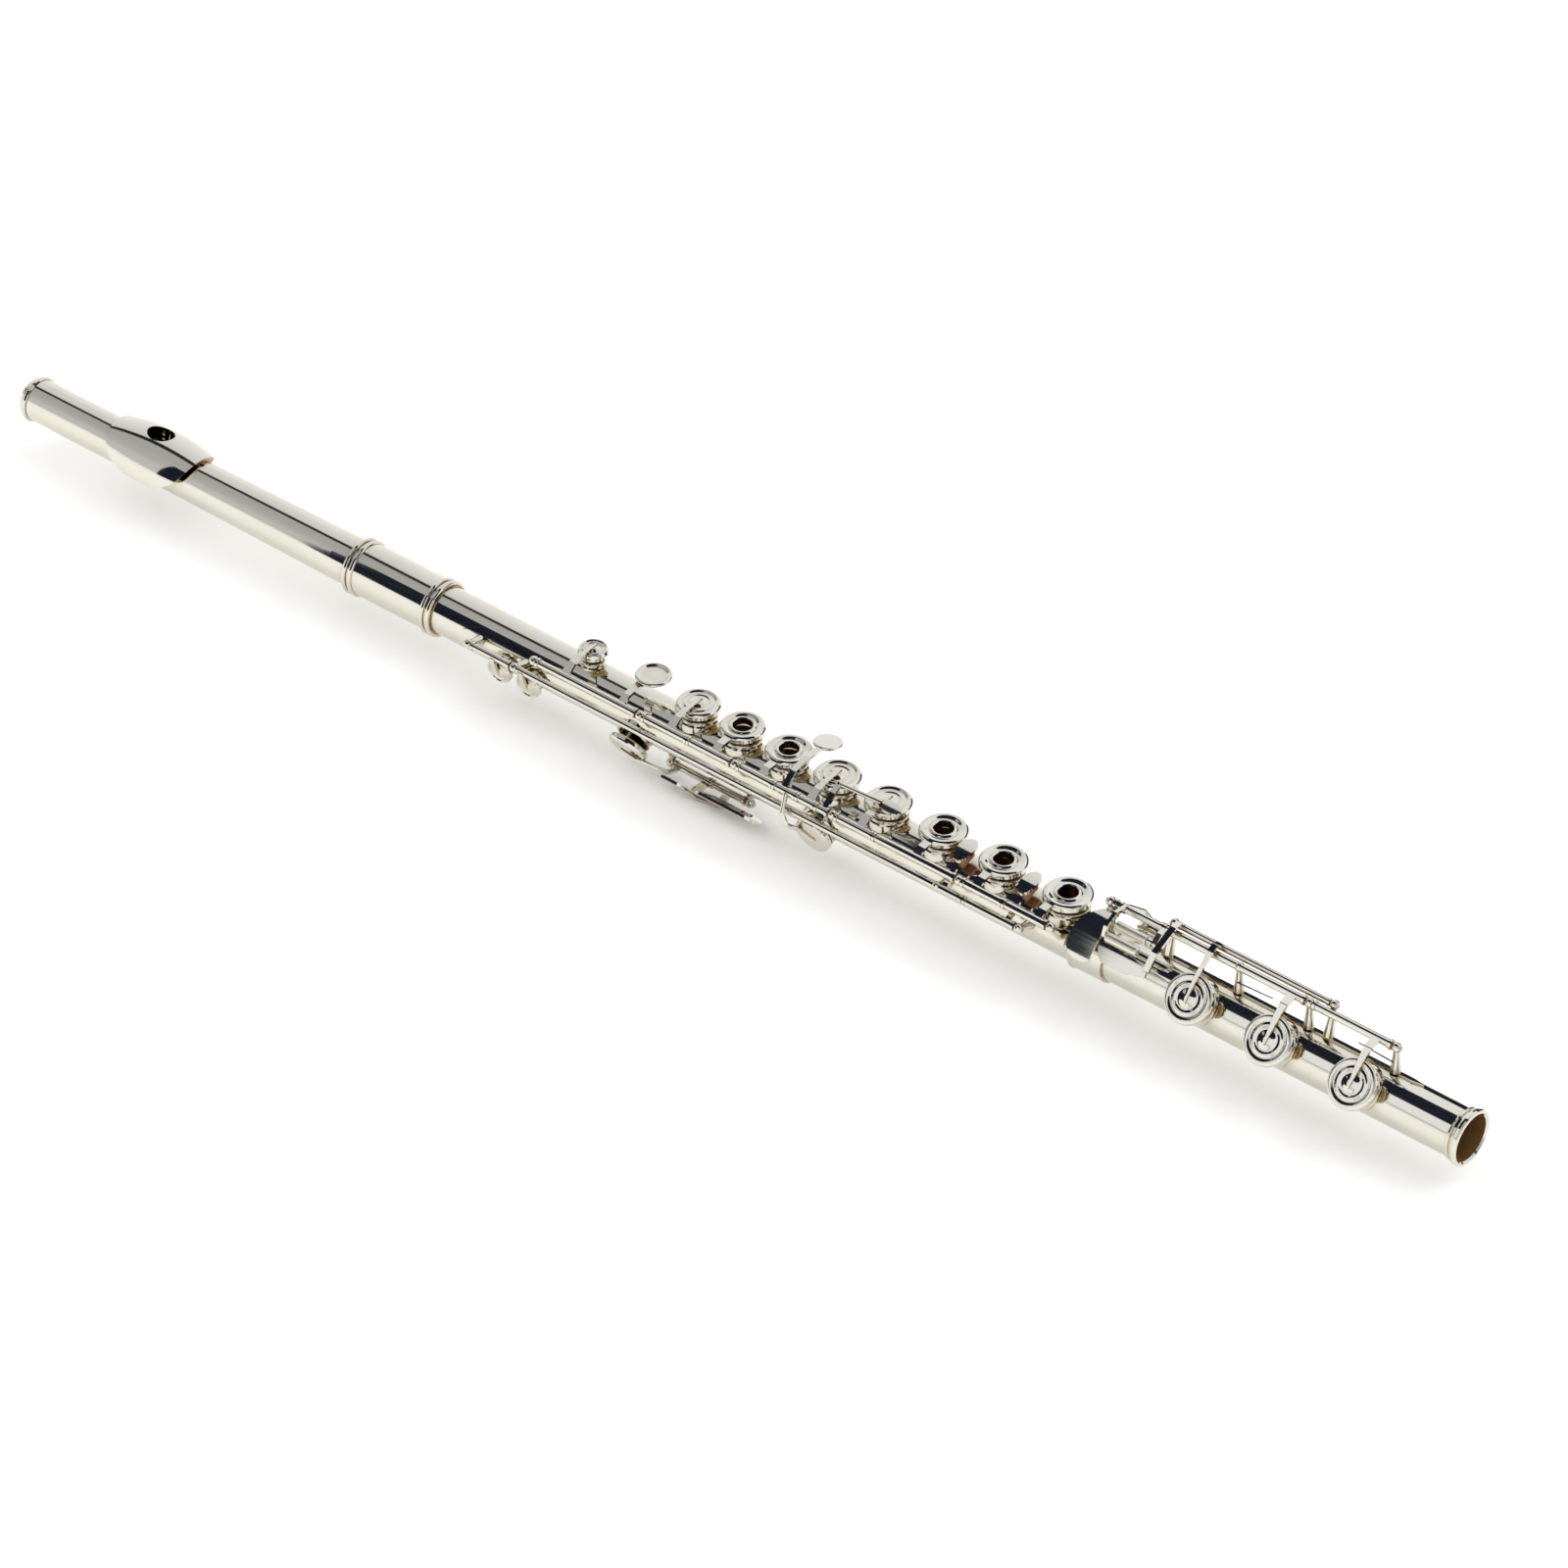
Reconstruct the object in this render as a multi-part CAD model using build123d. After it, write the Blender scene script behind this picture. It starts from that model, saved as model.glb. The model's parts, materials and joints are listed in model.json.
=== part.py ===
from build123d import *
import math
import os

# A concert flute with open-hole keys and a low B foot.
#
# Every lengthwise place is a distance from the centre of the blowing hole, growing towards the foot.
# An angle round the tube is measured from the top, growing towards the player.
# Keys that stand open are drawn open, and keys that a spring holds shut are drawn shut.

# Tube
BORE_R = 9.5
TUBE_R = 9.95
CROWN_END = -71.4
FOOT_END = 642.3
SEAT_R = 12.0            # height of the tone-hole rims above the tube's axis
RUNNING = 0.05           # radial clearance of a running fit
SEAT_GAP = 0.05          # what is left under a pad when its key is shut

# Headjoint
HEAD_START = -65.0
HEAD_END = 145.0
HEAD_TENON_R = 9.9
HEAD_NARROW_R = 8.85     # outside radius at the crown end
HEAD_WALL = 0.4
TAPER_END = 98.0
PLATE_TOP = 13.7
PLATE_BEND_R = 14.5      # bend of the lip plate round the tube
PLATE_ARCH_R = 92.0      # arch of the lip plate along the tube
PLATE_HALF_LENGTH = 22.8
PLATE_THICKNESS = 0.9
PLATE_OUTLINE_STEPS = 20
PLATE_WRAP = 96.0        # how far its wings reach round, from the top, in degrees
PLATE_SQUARENESS = 2.7   # 2 is an oval, more is squarer
HOLE_HALF_X = 6.1
HOLE_HALF_Y = 5.1
CORK_FACE = -17.0
STEM_R = 1.6

# Joint between head and body, and between body and foot
BARREL_START = 106.6
BARREL_END = 151.4
BARREL_R = 11.0
BODY_START = 146.0
BODY_END = 480.0
SOCKET_START = 465.4
SOCKET_END = 481.0
SOCKET_R = 11.1
FOOT_TUBE_START = 480.6

# Hinges
STEEL_R = 1.0
HINGE_TUBE_R = 1.6
COLLAR_R = 2.0
COLLAR_LENGTH = 1.1
POST_BALL_R = 1.95
POST_NECK_R = 1.2
POST_FOOT_R = 2.1
HINGE_GAP = 0.2
MAIN_PHI = 56.0
MAIN_R = 20.5
TRILL_PHI = 76.0
TRILL_R = 18.0
TRILL_STEEL_R = 0.8
TRILL_TUBE_R = 1.45
THUMB_PHI = 174.0
THUMB_R = 15.0
FOOT_PHI = 0.0
FOOT_R = 22.0
UPPER_PHI = -8.0         # the foot's second steel, which carries the C sharp key
UPPER_R = 24.0
UPPER_TUBE_R = 1.3
UPPER_STEEL_R = 0.7

# Posts
MAIN_POSTS = (209.9, 263.1, 310.0, 357.6, 418.1, 461.1)
TRILL_POSTS = (177.5, 200.8, 408.7, 447.4)
THUMB_POSTS = (268.5, 307.5)
FOOT_POSTS = (475.4, 534.6, 566.5, 605.5)
UPPER_POSTS = (502.0, 575.0)

# Keys
OPEN_ANGLE = 6.5
FOOT_OPEN_ANGLE = 6.5
THUMB_OPEN_ANGLE = 8.0
FOOT_TONE_PHI = 60.0
THUMB_TONE_PHI = 120.0
TRILL_TONE_PHI = 105.0
G_SHARP_TONE_PHI = 112.0
FOOT_D_SHARP_PHI = -52.0
CUP_HEIGHT = 3.4
CUP_WALL = 0.6
CUP_LIFT = 0.8           # how far the cup's edge stays above the rim
RING_HOLE_R = 3.95
PAD_THICKNESS = 2.4
ARM_THICKNESS = 1.2
ARM_WIDTH = 3.0
KICKER_PHI = 66.0
KICKER_R = 12.3

# name: (place, cup radius, tone-hole radius, ring key,
#        hinge tube start, hinge tube end, arm place, kicker place)
STACK = {
    "b_flat": (278.0, 8.9, 6.7, False, 264.9, 287.0, 278.0, 283.0),
    "a": (299.9, 9.0, 6.8, True, 287.2, 308.2, 299.9, 292.0),
    "g": (322.6, 9.3, 6.9, True, 311.8, 329.0, 322.6, 327.4),
    "lower_g": (346.4, 9.3, 7.0, False, 340.4, 349.4, 346.4, 343.0),
    "f_sharp": (370.9, 9.3, 7.2, False, 359.4, 377.4, 370.9, 375.6),
    "f": (397.4, 9.5, 7.4, True, 377.6, 416.3, 397.4, 384.0),
    "e": (425.9, 9.5, 7.5, True, 419.9, 439.0, 425.9, 436.2),
    "d": (456.3, 9.7, 7.7, True, 439.2, 459.3, 454.5, 443.95),
}
C_SHARP_X = 225.4
C_SHARP_CUP_R = 6.1
C_SHARP_HOLE_R = 3.8
FIRST_FINGER_X = 255.8
G_SHARP_X = 346.4
G_SHARP_CUP_R = 7.9
THUMB_X = 255.5
THUMB_CUP_R = 8.4
THUMB_HOLE_R = 6.4
TRILL_CUPS = (190.7, 205.3)
TRILL_CUP_R = 5.7
TRILL_HOLE_R = 3.6
TRILL_TOUCHES = (441.6, 411.5)
FOOT_D_SHARP_X = 490.0
FOOT_CUPS = (523.1, 559.2, 597.2)
FOOT_CUP_R = 9.9
FOOT_HOLE_R = 7.9
ROLLER_R = 2.0
ROLLER_PHIS = (21.0, 39.0)
ROLLER_PLACE_R = 19.4
ROLLER_START = 483.6
ROLLER_END = 498.0
PIN_R = 0.7

# The object's frame: origin under the middle, on the plane that the lowest piece rests on
SHIFT_X = -(CROWN_END + FOOT_END) / 2
SHIFT_Y = 2.8295
SHIFT_Z = 19.5493


def point(x, phi, radius):
    """A point at an angle and a distance from the tube's axis."""
    angle = math.radians(phi)
    return (x, -radius * math.sin(angle), radius * math.cos(angle))


def bar_x(start, end, radius, y=0.0, z=0.0):
    """A round bar along the flute."""
    return Pos((start + end) / 2, y, z) * Rot(0, 90, 0) * Cylinder(radius, end - start)


def tube_x(start, end, outer, inner, y=0.0, z=0.0):
    """A round tube along the flute."""
    return bar_x(start, end, outer, y, z) - bar_x(start - 1, end + 1, inner, y, z)


def bead_x(x, ring_radius, bead_radius):
    """A round bead that runs round the flute."""
    return Pos(x, 0, 0) * Rot(0, 90, 0) * Torus(ring_radius, bead_radius)


def stick(start, end, start_radius, end_radius):
    """A round bar between two points, which may taper."""
    a = Vector(*start)
    b = Vector(*end)
    length = (b - a).length
    place = Plane(origin=a, z_dir=b - a).location * Pos(0, 0, length / 2)
    if start_radius == end_radius:
        return place * Cylinder(start_radius, length)
    return place * Cone(start_radius, end_radius, length)


def ball(centre, radius):
    return Pos(*centre) * Sphere(radius)


def bent_rod(stations, radius):
    """A round rod through several points, with a ball at each bend."""
    rod = ball(stations[0], radius)
    for start, end in zip(stations, stations[1:]):
        rod += stick(start, end, radius, radius) + ball(end, radius)
    return rod


def turned(points):
    """A solid of revolution about Z from its half outline."""
    corners = [(radius, 0, height) for radius, height in points]
    return revolve(make_face(Polyline(*corners, close=True)), Axis.Z, 360)


def shell(start, end, phi_low, phi_high, inner, outer):
    """A plate bent round the flute's axis."""
    angles = (phi_low, (phi_low + phi_high) / 2, phi_high)
    inside = [point(start, phi, inner) for phi in angles]
    outside = [point(start, phi, outer) for phi in reversed(angles)]
    edges = [
        ThreePointArc(*inside),
        Line(inside[-1], outside[0]),
        ThreePointArc(*outside),
        Line(outside[-1], inside[0]),
    ]
    return extrude(make_face(edges), amount=end - start, dir=(1, 0, 0))


def strap(x, points, thickness=ARM_THICKNESS, width=ARM_WIDTH):
    """A flat bar across the flute, through points given as (y, z)."""
    solid = None
    for (y0, z0), (y1, z1) in zip(points, points[1:]):
        length = math.hypot(y1 - y0, z1 - z0)
        tilt = math.degrees(math.atan2(z1 - z0, y1 - y0))
        piece = Pos(x, (y0 + y1) / 2, (z0 + z1) / 2) * Rot(tilt, 0, 0) * Box(width, length, thickness)
        knee = bar_x(x - width / 2, x + width / 2, thickness / 2, y0, z0)
        tip = bar_x(x - width / 2, x + width / 2, thickness / 2, y1, z1)
        solid = piece + knee + tip if solid is None else solid + piece + tip
    return solid


def wedge(x, y_wide, y_narrow, wide, narrow):
    """A tall prism that tapers across the flute, for cutting a pointed arm."""
    corners = [
        (x - wide / 2, y_wide),
        (x + wide / 2, y_wide),
        (x + narrow / 2, y_narrow),
        (x - narrow / 2, y_narrow),
    ]
    return extrude(make_face(Polyline(*corners, close=True)), amount=60)


def swing(part, hinge, degrees):
    """Turn a part about a hinge line at (y, z) that runs along the flute."""
    y, z = hinge
    return Pos(0, y, z) * Rot(degrees, 0, 0) * Pos(0, -y, -z) * part


def hinge_place(phi, radius):
    """The (y, z) of a hinge line."""
    return point(0, phi, radius)[1:]


def hinge_tube(start, end, hinge, outer=HINGE_TUBE_R, inner=STEEL_R + RUNNING, collar=COLLAR_R):
    """A hinge tube with a collar at each end."""
    y, z = hinge
    barrel = bar_x(start, end, outer, y, z)
    barrel += bar_x(start, start + COLLAR_LENGTH, collar, y, z)
    barrel += bar_x(end - COLLAR_LENGTH, end, collar, y, z)
    return barrel - bar_x(start - 1, end + 1, inner, y, z)


def turned_smooth(corners, curve):
    """A solid of revolution about Z: straight runs, then a smooth curve back to the first corner."""
    flat = [(radius, 0, height) for radius, height in corners]
    round_top = [(radius, 0, height) for radius, height in curve]
    edges = [Line(start, end) for start, end in zip(flat, flat[1:])]
    edges.append(Spline(*round_top))
    edges.append(Line(round_top[-1], flat[0]))
    return revolve(make_face(edges), Axis.Z, 360)


def plateau_cup(radius):
    """A closed key cup, open below for its pad, with a round shoulder and two steps on top."""
    top = CUP_HEIGHT
    inside = radius - CUP_WALL
    step = (radius - 1.6) / 7.3
    corners = [
        (0, PAD_THICKNESS + 0.2), (inside, PAD_THICKNESS + 0.2), (inside, CUP_LIFT), (radius, CUP_LIFT),
        (radius, top - 1.3),
    ]
    curve = [
        (radius, top - 1.3), (radius - 0.35, top - 0.5), (radius - 1.2 * step, top),
        (radius - 2.0 * step, top - 0.25), (radius - 2.5 * step, top - 0.55),
        (radius - 3.1 * step, top - 0.45),
        (radius - 3.7 * step, top - 0.2), (radius - 4.3 * step, top - 0.3), (radius - 4.9 * step, top - 0.5),
        (radius - 5.8 * step, top - 0.3), (radius - 6.6 * step, top), (0, top + 0.2),
    ]
    return turned_smooth(corners, curve)


def ring_cup(radius):
    """An open-hole key cup with its own short chimney in the middle."""
    top = CUP_HEIGHT
    inside = radius - CUP_WALL
    neck = RING_HOLE_R + 0.5
    corners = [
        (RING_HOLE_R, 0.3), (neck, 0.3), (neck, PAD_THICKNESS + 0.2), (inside, PAD_THICKNESS + 0.2),
        (inside, CUP_LIFT), (radius, CUP_LIFT), (radius, top - 1.3),
    ]
    curve = [
        (radius, top - 1.3), (radius - 0.35, top - 0.5), (radius - 1.2, top), (radius - 2.2, top - 0.1),
        (radius - 3.0, top - 0.45), (neck + 1.1, top - 0.62),
        (neck + 0.75, top - 0.3), (neck + 0.3, top - 0.05),
        (RING_HOLE_R, top - 0.3),
    ]
    return turned_smooth(corners, curve)


def pad_disc(radius, ring=False):
    """A skin-covered felt pad with a rounded edge."""
    edge = radius - CUP_WALL - 0.1
    inner = RING_HOLE_R + 0.6 if ring else 0
    return turned([
        (inner, SEAT_GAP), (edge - 0.5, SEAT_GAP), (edge - 0.12, SEAT_GAP + 0.2), (edge, SEAT_GAP + 0.6),
        (edge, PAD_THICKNESS + 0.1), (inner, PAD_THICKNESS + 0.1),
    ])


def seat_frame(x, phi, seat=SEAT_R):
    """Where a pad sits: centre of the tone-hole rim, Z pointing out of the hole."""
    return Pos(x, 0, 0) * Rot(phi, 0, 0) * Pos(0, 0, seat)


def chimney(x, phi, hole_radius, seat=SEAT_R):
    """A drawn tone hole with its rolled rim, still without its hole."""
    wall = hole_radius + 0.55
    rim = hole_radius + 1.1
    outline = [
        (0, 6.0), (wall + 0.5, 6.0), (wall + 0.5, 9.6), (wall, 10.2), (wall, seat - 1.1),
        (rim - 0.1, seat - 0.9), (rim, seat - 0.5), (rim - 0.15, seat - 0.12), (rim - 0.5, seat), (0, seat),
    ]
    return Pos(x, 0, 0) * Rot(phi, 0, 0) * turned(outline)


def tone_hole(x, phi, hole_radius):
    """The hole through the wall, for cutting."""
    return Pos(x, 0, 0) * Rot(phi, 0, 0) * Pos(0, 0, 14) * Cylinder(hole_radius, 20)


def drilled_tube(tube, holes):
    """Add the chimneys to a tube, clear its bore and cut the tone holes."""
    for x, phi, radius in holes:
        tube += chimney(x, phi, radius)
    box = tube.bounding_box()
    tube -= bar_x(box.min.X - 1, box.max.X + 1, BORE_R)
    for x, phi, radius in holes:
        tube -= tone_hole(x, phi, radius)
    return tube


def plateau_arm(x, hinge_y, hinge_z):
    """A pointed arm, from the hinge tube over the cup to its middle, with the hinge on the -Y side."""
    top = SEAT_R + CUP_HEIGHT + 0.35
    path = [(hinge_y + 0.3, hinge_z + 0.9), (hinge_y + 4.6, top - 0.6), (-7.6, top), (1.6, top - 0.1)]
    return strap(x, path, width=4.4) & wedge(x, hinge_y - 2, 2.4, 4.2, 0.7)


def ring_arm(x, hinge_y, hinge_z, cup_radius):
    """An arm that ends on the side of a ring cup, with the hinge on the -Y side."""
    level = SEAT_R + 2.0
    path = [(hinge_y + 0.3, hinge_z + 0.6), (hinge_y + 3.6, level), (-cup_radius, level)]
    return strap(x, path, width=3.4)


def build_stack_key(x, cup_radius, ring, tube_start, tube_end, arm_x, kicker_x):
    """One key of the top row with its pad, standing open, and the foot that stops it over the tube."""
    hinge = hinge_place(MAIN_PHI, MAIN_R)
    cup = seat_frame(x, 0) * (ring_cup(cup_radius) if ring else plateau_cup(cup_radius))
    arm = ring_arm(arm_x, *hinge, cup_radius) if ring else plateau_arm(arm_x, *hinge)
    bore = bar_x(tube_start - 1, tube_end + 1, STEEL_R + RUNNING, *hinge)
    key = cup + (arm - bore) + hinge_tube(tube_start, tube_end, hinge)
    pad = seat_frame(x, 0) * pad_disc(cup_radius, ring)
    foot = strap(kicker_x, [hinge, point(0, KICKER_PHI, KICKER_R)[1:]], 1.5, 2.0) - bore
    return swing(key, hinge, OPEN_ANGLE) + foot, swing(pad, hinge, OPEN_ANGLE)


def build_c_sharp_key():
    """The small vent cup and the first-finger touch, on one hinge tube, standing open."""
    hinge = hinge_place(MAIN_PHI, MAIN_R)
    start, end = 211.7, 261.3
    cup = seat_frame(C_SHARP_X, 0) * plateau_cup(C_SHARP_CUP_R)
    touch_height = SEAT_R + 3.6
    touch = Pos(FIRST_FINGER_X, 0, touch_height) * turned_smooth(
        [(0, -1.2), (3.4, -1.1), (5.9, 0.0), (7.2, 1.1)],
        [(7.2, 1.1), (7.3, 1.8), (6.7, 2.3), (5.9, 2.2), (5.2, 1.7), (4.3, 1.5), (2.2, 1.45), (0, 1.4)],
    )
    y, z = hinge
    touch_path = [(y + 0.3, z + 0.6), (y + 3.8, 14.2), (-5.0, 14.9), (-1.0, 15.0)]
    touch_arm = strap(FIRST_FINGER_X - 2.4, touch_path, width=3.0)
    bore = bar_x(start - 1, end + 1, STEEL_R + RUNNING, *hinge)
    arms = plateau_arm(C_SHARP_X, *hinge) + touch_arm - bore
    key = cup + touch + arms + hinge_tube(start, end, hinge)
    pad = seat_frame(C_SHARP_X, 0) * pad_disc(C_SHARP_CUP_R)
    return swing(key, hinge, OPEN_ANGLE), swing(pad, hinge, OPEN_ANGLE)


def oval_touch(x, phi, radius, half_x, half_round, thickness=1.1):
    """An oval finger plate bent round the flute."""
    reach = math.degrees(half_round / radius) + 2
    plate = shell(x - half_x, x + half_x, phi - reach, phi + reach, radius - thickness, radius)
    outline = Pos(x, 0, 0) * Rot(phi, 0, 0) * extrude(Ellipse(half_x, half_round), amount=40)
    return plate & outline


def build_g_sharp_key():
    """The G sharp key: a shut cup low on the near side, with its touch across the top of the flute."""
    hinge = hinge_place(MAIN_PHI, MAIN_R)
    start, end = 329.2, 340.2
    y, z = hinge
    cup = seat_frame(G_SHARP_X, G_SHARP_TONE_PHI) * turned([
        (0, PAD_THICKNESS + 0.2), (G_SHARP_CUP_R - CUP_WALL, PAD_THICKNESS + 0.2),
        (G_SHARP_CUP_R - CUP_WALL, CUP_LIFT), (G_SHARP_CUP_R, CUP_LIFT), (G_SHARP_CUP_R, CUP_HEIGHT - 0.9),
        (G_SHARP_CUP_R - 0.3, CUP_HEIGHT - 0.4),
        (G_SHARP_CUP_R - 1.0, CUP_HEIGHT - 0.1),
        (0, CUP_HEIGHT + 0.1),
    ])
    outer = SEAT_R + CUP_HEIGHT + 0.25
    stations = [
        point(336.0, MAIN_PHI + 3, MAIN_R + 1.0), point(337.0, 78, 21.8), point(339.0, 91, 20.6),
        point(G_SHARP_X - 4.0, G_SHARP_TONE_PHI - 7, outer), point(G_SHARP_X + 1.5, G_SHARP_TONE_PHI, outer),
    ]
    lower_arm = bent_rod(stations, 0.95)
    touch = extrude(Ellipse(5.6, 6.3), amount=1.3)
    touch = Pos(333.4, 9.2, 19.7) * Rot(-6, 0, 0) * fillet(touch.edges(), 0.5)
    path = [(y + 0.2, z + 1.0), (-12.0, 17.6), (-4.0, 20.1), (3.0, 20.6), (7.2, 20.3)]
    upper_arm = strap(334.0, path, width=2.6)
    bore = bar_x(start - 1, end + 1, STEEL_R + RUNNING, *hinge)
    key = cup + touch + (upper_arm + lower_arm - bore) + hinge_tube(start, end, hinge)
    pad = seat_frame(G_SHARP_X, G_SHARP_TONE_PHI) * pad_disc(G_SHARP_CUP_R)
    return key, pad


def build_side_lever():
    """The small B flat lever that lies beside the F sharp cup."""
    hinge = hinge_place(MAIN_PHI, MAIN_R)
    start, end = 349.6, 355.8
    y, z = hinge
    path = [(y + 0.2, z + 1.0), (-12.6, 17.4), (-9.0, 19.9)]
    bore = bar_x(start - 1, end + 1, STEEL_R + RUNNING, *hinge)
    arm = strap(353.6, path, width=2.4) - bore
    shank = stick((353.6, -9.0, 19.9), (373.0, -7.9, 20.3), 0.9, 0.9)
    touch = oval_touch(377.0, 21, 21.8, 5.4, 2.7, 1.3)
    return arm + shank + ball((353.6, -9.0, 19.9), 0.95) + touch + hinge_tube(start, end, hinge)


def build_trill_key(cup_x, touch_x, spans, bore_radius):
    """A long trill key: a shut cup near the barrel and a touch between the right-hand cups."""
    hinge = hinge_place(TRILL_PHI, TRILL_R)
    y, z = hinge
    cup = seat_frame(cup_x, TRILL_TONE_PHI) * plateau_cup(TRILL_CUP_R)
    outer = SEAT_R + CUP_HEIGHT + 0.2
    path = [
        hinge_place(TRILL_PHI + 2, TRILL_R + 1.1), hinge_place(88, 17.6), hinge_place(TRILL_TONE_PHI, outer),
    ]
    cup_arm = strap(cup_x, path, width=2.2)
    touch = oval_touch(touch_x, 17, 17.9, 3.4, 6.0, 1.5)
    touch_path = [
        point(0, TRILL_PHI - 4, TRILL_R - 1.0)[1:], point(0, 62, 15.6)[1:],
        point(0, 46, 15.4)[1:], point(0, 30, 16.5)[1:], point(0, 22, 17.0)[1:],
    ]
    touch_arm = strap(touch_x, touch_path, width=2.2)
    key = cup + cup_arm + touch + touch_arm
    key -= bar_x(min(spans[0]) - 2, max(spans[-1]) + 2, bore_radius, y, z)
    for start, end in spans:
        key += hinge_tube(start, end, hinge, TRILL_TUBE_R, bore_radius, TRILL_TUBE_R + 0.2)
    pad = seat_frame(cup_x, TRILL_TONE_PHI) * pad_disc(TRILL_CUP_R)
    return key, pad


def build_thumb_keys():
    """The thumb key with its open cup, its pad, and the B flat lever beside it."""
    hinge = hinge_place(THUMB_PHI, THUMB_R)
    bore = bar_x(260, 316, STEEL_R + RUNNING, *hinge)
    cup = seat_frame(THUMB_X, THUMB_TONE_PHI) * plateau_cup(THUMB_CUP_R)
    outer = SEAT_R + CUP_HEIGHT
    stations = [
        point(272.4, 166, THUMB_R + 0.8), point(271.0, 152, 16.4), point(THUMB_X + 5.0, 128, outer + 0.9),
        point(THUMB_X - 1.5, THUMB_TONE_PHI, outer + 0.3),
    ]
    arm = bent_rod(stations, 1.0)
    paddle = paddle_plate(288.5, 320.0, 138, 9.0)
    crank = strap(286.2, [point(0, 168, THUMB_R + 0.9)[1:], point(0, 150, 17.2)[1:]], 1.4, 3.0)
    link = stick(point(286.2, 150, 17.2), point(291.5, 146, 17.3), 1.2, 1.2)
    thumb = cup + (arm + crank - bore) + link + paddle + hinge_tube(270.3, 288.0, hinge)
    pad = seat_frame(THUMB_X, THUMB_TONE_PHI) * pad_disc(THUMB_CUP_R)
    lever_crank = strap(297.0, [point(0, 168, THUMB_R + 0.9)[1:], point(0, 158, 19.4)[1:]], 1.4, 3.0)
    rail = bent_rod([point(297.0, 158, 19.4), point(287.5, 149, 19.7), point(281.5, 143, 18.2)], 0.8)
    lever = (lever_crank - bore) + rail + paddle_plate(271.5, 285.0, 134, 6.0, 18.4)
    lever += hinge_tube(288.4, 305.6, hinge)
    parts = (thumb, pad, lever)
    return [swing(piece, hinge, THUMB_OPEN_ANGLE) for piece in parts]


def paddle_plate(start, end, phi, half_round, radius=17.9):
    """A long finger plate with round ends, bent round the underside."""
    x = (start + end) / 2
    half = (end - start) / 2
    reach = math.degrees(half_round / radius) + 2
    plate = shell(start, end, phi - reach, phi + reach, radius - 1.1, radius)
    outline = extrude(SlotOverall(2 * half, 1.35 * half_round), amount=40)
    return plate & (Pos(x, 0, 0) * Rot(phi, 0, 0) * outline)


def mirrored_arm(arm):
    """Put an arm drawn with its hinge on the -Y side onto the +Y side."""
    return mirror(arm, about=Plane.XZ)


def build_foot_cup_key(x, hinge_phi, hinge_radius, path_over=None):
    """A foot key's cup, arm and hinge tubes, drawn shut in the tone hole's frame and then placed."""
    y, z = point(0, hinge_phi - FOOT_TONE_PHI, hinge_radius)[1:]
    cup = Pos(x, 0, SEAT_R) * plateau_cup(FOOT_CUP_R)
    if path_over:
        arm = strap(x, path_over, width=3.4) & mirrored_arm(wedge(x, -26, 2.4, 3.0, 0.7))
    else:
        arm = mirrored_arm(plateau_arm(x, -y, z))
    pad = Pos(x, 0, SEAT_R) * pad_disc(FOOT_CUP_R)
    return Rot(FOOT_TONE_PHI, 0, 0) * (cup + arm), Rot(FOOT_TONE_PHI, 0, 0) * pad


def roller_pin(phi, start, end):
    """The pin that a roller turns on, with a round head at each end."""
    y, z = hinge_place(phi, ROLLER_PLACE_R)
    return bar_x(start, end, PIN_R, y, z)


def roller(phi):
    y, z = hinge_place(phi, ROLLER_PLACE_R)
    body = bar_x(ROLLER_START, ROLLER_END, ROLLER_R, y, z)
    ends = body.edges().filter_by(GeomType.CIRCLE)
    return fillet(ends, 0.7) - bar_x(ROLLER_START - 1, ROLLER_END + 1, PIN_R + RUNNING, y, z)


def build_low_c_key():
    """The low C key: a long hinge tube, a cup, and the arm of the upper roller."""
    hinge = hinge_place(FOOT_PHI, FOOT_R)
    y, z = hinge
    start, end = 500.0, 564.6
    cup, pad = build_foot_cup_key(FOOT_CUPS[1], FOOT_PHI, FOOT_R)
    ry, rz = hinge_place(ROLLER_PHIS[0], ROLLER_PLACE_R)
    arm = strap(501.2, [(y - 0.6, z + 0.4), (-4.4, 21.3), (ry, rz)], 1.7, 2.2)
    bore = bar_x(start - 2, end + 2, STEEL_R + RUNNING, *hinge)
    key = (cup + arm - bore) + roller_pin(ROLLER_PHIS[0], ROLLER_START - 0.6, 502.0)
    key += bar_x(498.2, 500.2, 1.5, ry, rz) + hinge_tube(start, end, hinge)
    return close_to_rest(key, hinge), close_to_rest(pad, hinge)


def build_low_b_key():
    """The low B key: pinned to the turning steel, with its cup at the end and the lower roller's arm."""
    hinge = hinge_place(FOOT_PHI, FOOT_R)
    y, z = hinge
    cup, pad = build_foot_cup_key(FOOT_CUPS[2], FOOT_PHI, FOOT_R)
    ry, rz = hinge_place(ROLLER_PHIS[1], ROLLER_PLACE_R)
    arm = strap(482.35, [(y - 0.4, z + 1.1), (-7.0, 22.6), (-11.8, 18.9), (ry, rz)], 1.5, 1.5)
    bore = bar_x(470, 608, STEEL_R, *hinge)
    key = (cup + arm - bore) + roller_pin(ROLLER_PHIS[1], 482.0, ROLLER_END + 0.6)
    for start, end in ((481.3, 499.8), (568.4, 603.6)):
        key += hinge_tube(start, end, hinge, inner=STEEL_R)
    return close_to_rest(key, hinge), close_to_rest(pad, hinge)


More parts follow.
